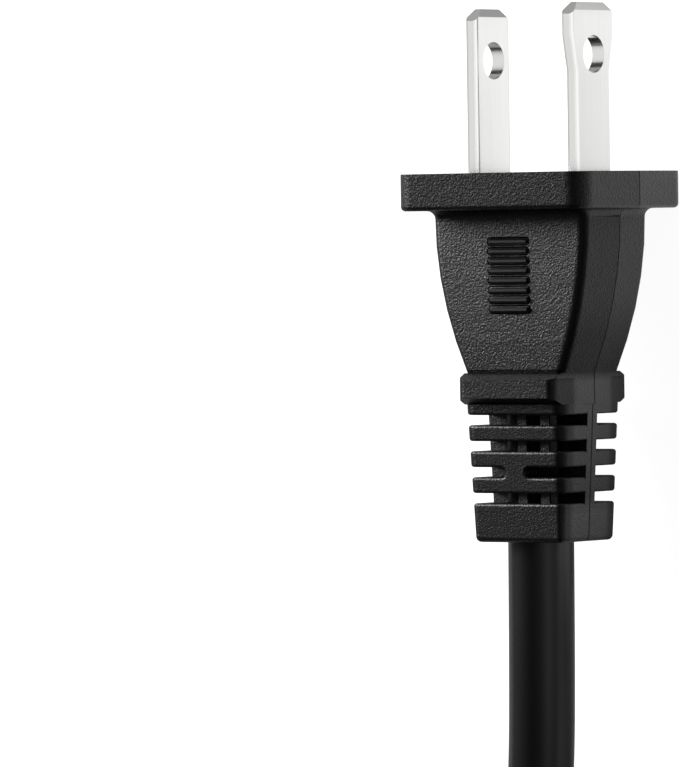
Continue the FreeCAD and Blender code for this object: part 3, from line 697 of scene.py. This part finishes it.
def moulding_material():
    """Black moulded PVC with the grain of a spark-eroded mould, coarser on the head's grip. It has the
    seam of the mould halves, the crease above the collar and a fine groove round each grip ridge, each
    a shallow bumped line with painted shade in it. Its gloss along the moulding is painted light and
    shade."""
    made, tree, shader = material("moulding", Roughness=0.38)
    place = object_place(tree)
    areas = moulding_areas(tree, place)

    tint = noise(tree, place, scale=900, detail=3)
    plain = mix_colour(tree, tint, *MOULDING_COLOURS)
    colour = mix_colour(tree, areas.grip, plain, mix_colour(tree, tint, *GRIP_COLOURS))
    # The lines get painted shade.
    feed(tree, mix_colour(tree, areas.line, colour, PAINTED_SHADE_COLOUR), shader.inputs["Base Color"])

    # The gloss along the moulding and between faces and sides is painted light and shade, and it drops
    # as painted shade on corners and in the lines.
    below = arithmetic(tree, "DIVIDE", split(tree, place)["Y"], -MM)
    on_faces = level_at(tree, below, PAINTED_LIGHT_GLOSS_ON_FACES, end=MOULDING_END)
    on_sides = level_at(tree, below, PAINTED_LIGHT_GLOSS_ON_SIDES, end=MOULDING_END)
    gloss = product(
        tree,
        blend_values(tree, areas.side, on_faces, on_sides),
        share_where(tree, areas.corner, CORNER_SHADE_GLOSS),
        arithmetic(tree, "SUBTRACT", 1, areas.line),
    )
    feed(tree, gloss, shader.inputs["Specular IOR Level"])

    depth = product(
        tree,
        arithmetic(tree, "ADD", GRAIN_DEPTH, product(tree, areas.grip, GRIP_DEPTH)),
        share_where(tree, areas.ridge, GRAIN_ON_RIDGES),
        share_where(tree, areas.side, GRAIN_ON_SIDES),
        share_where(tree, areas.corner, GRAIN_ON_CORNERS),
        share_where(tree, areas.relief, GRAIN_ON_RELIEF),
    )
    grain = product(tree, noise(tree, place, GRAIN_SCALE, roughness=0.6), depth)
    bump(tree, shader, arithmetic(tree, "SUBTRACT", grain, product(tree, areas.line, LINE_DEPTH)))
    return made


def jacket_material():
    """Smooth black PVC with a soft gloss. Inside the strain relief the gloss is turned down as painted
    shade in its slots.
    """
    made, tree, shader = material("jacket", Roughness=0.28)
    place = object_place(tree)
    y = split(tree, place)["Y"]
    # Painted shade: the gloss drops inside the strain relief.
    gloss = ramp_between(tree, y, *JACKET_GLOSS_EDGE, JACKET_GLOSS, PAINTED_SHADE_JACKET_GLOSS)
    feed(tree, gloss, shader.inputs["Specular IOR Level"])
    tint = noise(tree, place, scale=300)
    feed(tree, mix_colour(tree, tint, *JACKET_COLOURS), shader.inputs["Base Color"])
    bump(tree, shader, noise(tree, place, scale=700), distance=0.04 * MM, strength=0.25)
    return made


def blade_material():
    """Nickel plate over brass, smooth, with faint rolling marks along the blade."""
    made, tree, shader = material("blade", Metallic=1.0, Roughness=0.22)
    stretch = node(tree, "ShaderNodeMapping", Scale=(4000, 60, 4000))
    feed(tree, object_place(tree), stretch.inputs["Vector"])
    marks = noise(tree, stretch.outputs["Vector"], scale=1.0, detail=3)
    feed(tree, mix_colour(tree, marks, *BLADE_COLOURS), shader.inputs["Base Color"])
    bump(tree, shader, marks, distance=0.005 * MM, strength=0.3)
    return made


def toned_material(name, colours, roughness, metallic):
    """An even plastic or metal with a faint change of tone."""
    made, tree, shader = material(name, Roughness=roughness, Metallic=metallic)
    tint = noise(tree, object_place(tree), scale=500, detail=3)
    feed(tree, mix_colour(tree, tint, *colours), shader.inputs["Base Color"])
    return made


def dress_nodes():
    """Gives the part's own solids their materials, and returns these by the record's slots."""
    made = {"moulding": moulding_material(), "blade": blade_material()}
    for slot, finish in OTHER_FINISHES.items():
        made[slot] = toned_material(slot, *finish)
    slots = {entry["node"]: entry["material_slot"] for entry in frame["record"]["subparts"]}
    for name, piece in NODES.items():
        if slots[name] in made:
            piece.data.materials.clear()
            piece.data.materials.append(made[slots[name]])
    return made


def painted_table_glow(tree):
    """How bright the floor's painted glow is to reflections and to the light that it throws back, with
    painted shade by the cord, past the blades' tips and to the left of an edge.
    """
    across, along, _ = split(tree, object_place(tree))
    by_cord = ramp_between(tree, along, *TABLE_CORD_EDGE, TABLE_BY_CORD, 1.0)
    past_tips = ramp_between(tree, along, *TABLE_TIP_EDGE, 0.0, 1.0)
    by_tips = ramp_between(tree, across, *TIPS_TURN, *TABLE_BY_TIPS)
    by_tips = blend_values(tree, past_tips, 1.0, by_tips)
    shade_edge = ramp_between(tree, along, *SHADE_TURN, *SHADE_EDGE)
    past_shade = arithmetic(tree, "SUBTRACT", across, shade_edge)
    lit = ramp_between(tree, past_shade, -SHADE_BLUR, SHADE_BLUR, SHADE_LEVEL, 1.0)
    return product(tree, by_cord, by_tips, lit, TABLE_LEVEL)


def floor_material():
    """White to the camera, with the object's soft shadow kept in it. To reflections and bounced light it
    glows as a painted lit table: brightest beside the plug, with painted shade beyond the blades' tips
    and along the cord."""
    made = bpy.data.materials.new("floor")
    made.use_nodes = True
    tree = made.node_tree
    tree.nodes.clear()
    # The glow that reflections and bounced light see is painted light, with painted shade in it.
    reflected = product(tree, ray_is(tree, "Is Glossy Ray", "Is Diffuse Ray"), painted_table_glow(tree))
    seen = product(tree, ray_is(tree, "Is Camera Ray", "Is Transmission Ray"), BACKGROUND_GLOW)
    glow = tree.nodes.new("ShaderNodeEmission")
    feed(tree, arithmetic(tree, "ADD", reflected, seen), glow.inputs["Strength"])
    paint = tree.nodes.new("ShaderNodeBsdfDiffuse")
    feed(tree, (FLOOR_PAINT, FLOOR_PAINT, FLOOR_PAINT), paint.inputs["Color"])
    both = tree.nodes.new("ShaderNodeAddShader")
    feed(tree, glow.outputs[0], both.inputs[0])
    feed(tree, paint.outputs[0], both.inputs[1])
    out = tree.nodes.new("ShaderNodeOutputMaterial")
    feed(tree, both.outputs[0], out.inputs["Surface"])
    return made


def floor():
    mesh = bpy.data.meshes.new("floor")
    reach = FLOOR_REACH
    corners = [(-reach, -reach), (reach, -reach), (reach, reach), (-reach, reach)]
    mesh.from_pydata([(x, y, FLOOR_Z) for x, y in corners], [], [(0, 1, 2, 3)])
    mesh.materials.append(floor_material())
    link(bpy.data.objects.new("floor", mesh))


def room():
    """The light from all round, by the angle from +X up and over to -X, and dimmer towards the ends.
    It is white to the camera, as the floor is."""
    world = bpy.data.worlds.new("room")
    bpy.context.scene.world = world
    world.use_nodes = True
    tree = world.node_tree
    x, y, z = split(tree, tree.nodes.new("ShaderNodeTexCoord").outputs["Generated"])
    angle = arithmetic(tree, "DEGREES", arithmetic(tree, "ARCTAN2", z, x))
    level = product(
        tree,
        level_at(tree, angle, ROOM_LEVELS, end=180),
        ramp_between(tree, y, *ROOM_TIPS_EDGE, 1.0, ROOM_BY_TIPS),
        ramp_between(tree, y, *ROOM_CORD_EDGE, ROOM_BY_CORD, 1.0),
    )
    seen = ray_is(tree, "Is Camera Ray", "Is Transmission Ray")
    background = tree.nodes["Background"]
    feed(tree, blend_values(tree, seen, level, 1.0), background.inputs["Strength"])
    feed(tree, (1, 1, 1), background.inputs["Color"])


def lamp(name, aim, angle, rise, distance, size, luminance):
    """A soft box that faces the plug. The angle runs from +X up and over to -X, and the rise from
    there towards the blades' tips, both in degrees."""
    data = bpy.data.lights.new(name, "AREA")
    data.shape = "RECTANGLE"
    data.size, data.size_y = size
    data.energy = luminance * math.pi * size[0] * size[1]
    box = link(bpy.data.objects.new(name, data))
    angle = math.radians(angle)
    rise = math.radians(rise)
    away = Vector((math.cos(angle) * math.cos(rise), math.sin(rise), math.sin(angle) * math.cos(rise)))
    around = Vector((0, 1, 0)).cross(away).normalized()
    box.matrix_world = Matrix((around, away.cross(around), away)).transposed().to_4x4()
    box.matrix_world.translation = away * distance + Vector(aim)
    return box


def light():
    """The room, the key that lights all but the blades, and the cards that light only the blades."""
    room()
    lit_by_cards = bpy.data.collections.new("lit_by_cards")
    not_lit_by_key = bpy.data.collections.new("not_lit_by_key")
    for name in ("line_blade", "neutral_blade"):
        lit_by_cards.objects.link(NODES[name])
        not_lit_by_key.objects.link(NODES[name])
    for entry in not_lit_by_key.collection_objects:
        entry.light_linking.link_state = "EXCLUDE"
    lamp("key", **KEY).light_linking.receiver_collection = not_lit_by_key
    for name, settings in CARDS.items():
        lamp(name, **EVERY_CARD, **settings).light_linking.receiver_collection = lit_by_cards


bpy.context.scene.view_settings.view_transform = "Standard"
camera()
finishes = dress_nodes()
cord([tie(f"hank_tie_{name}", side, finishes["tie"]) for name, side in (("left", -1), ("right", 1))])
for name, side in (("line", -1), ("neutral", 1)):
    strands(f"{name}_conductor_far_end", CORE_X + side * CORE_OFFSET, finishes["conductor"])
slot_posts(finishes["moulding"])
floor()
light()
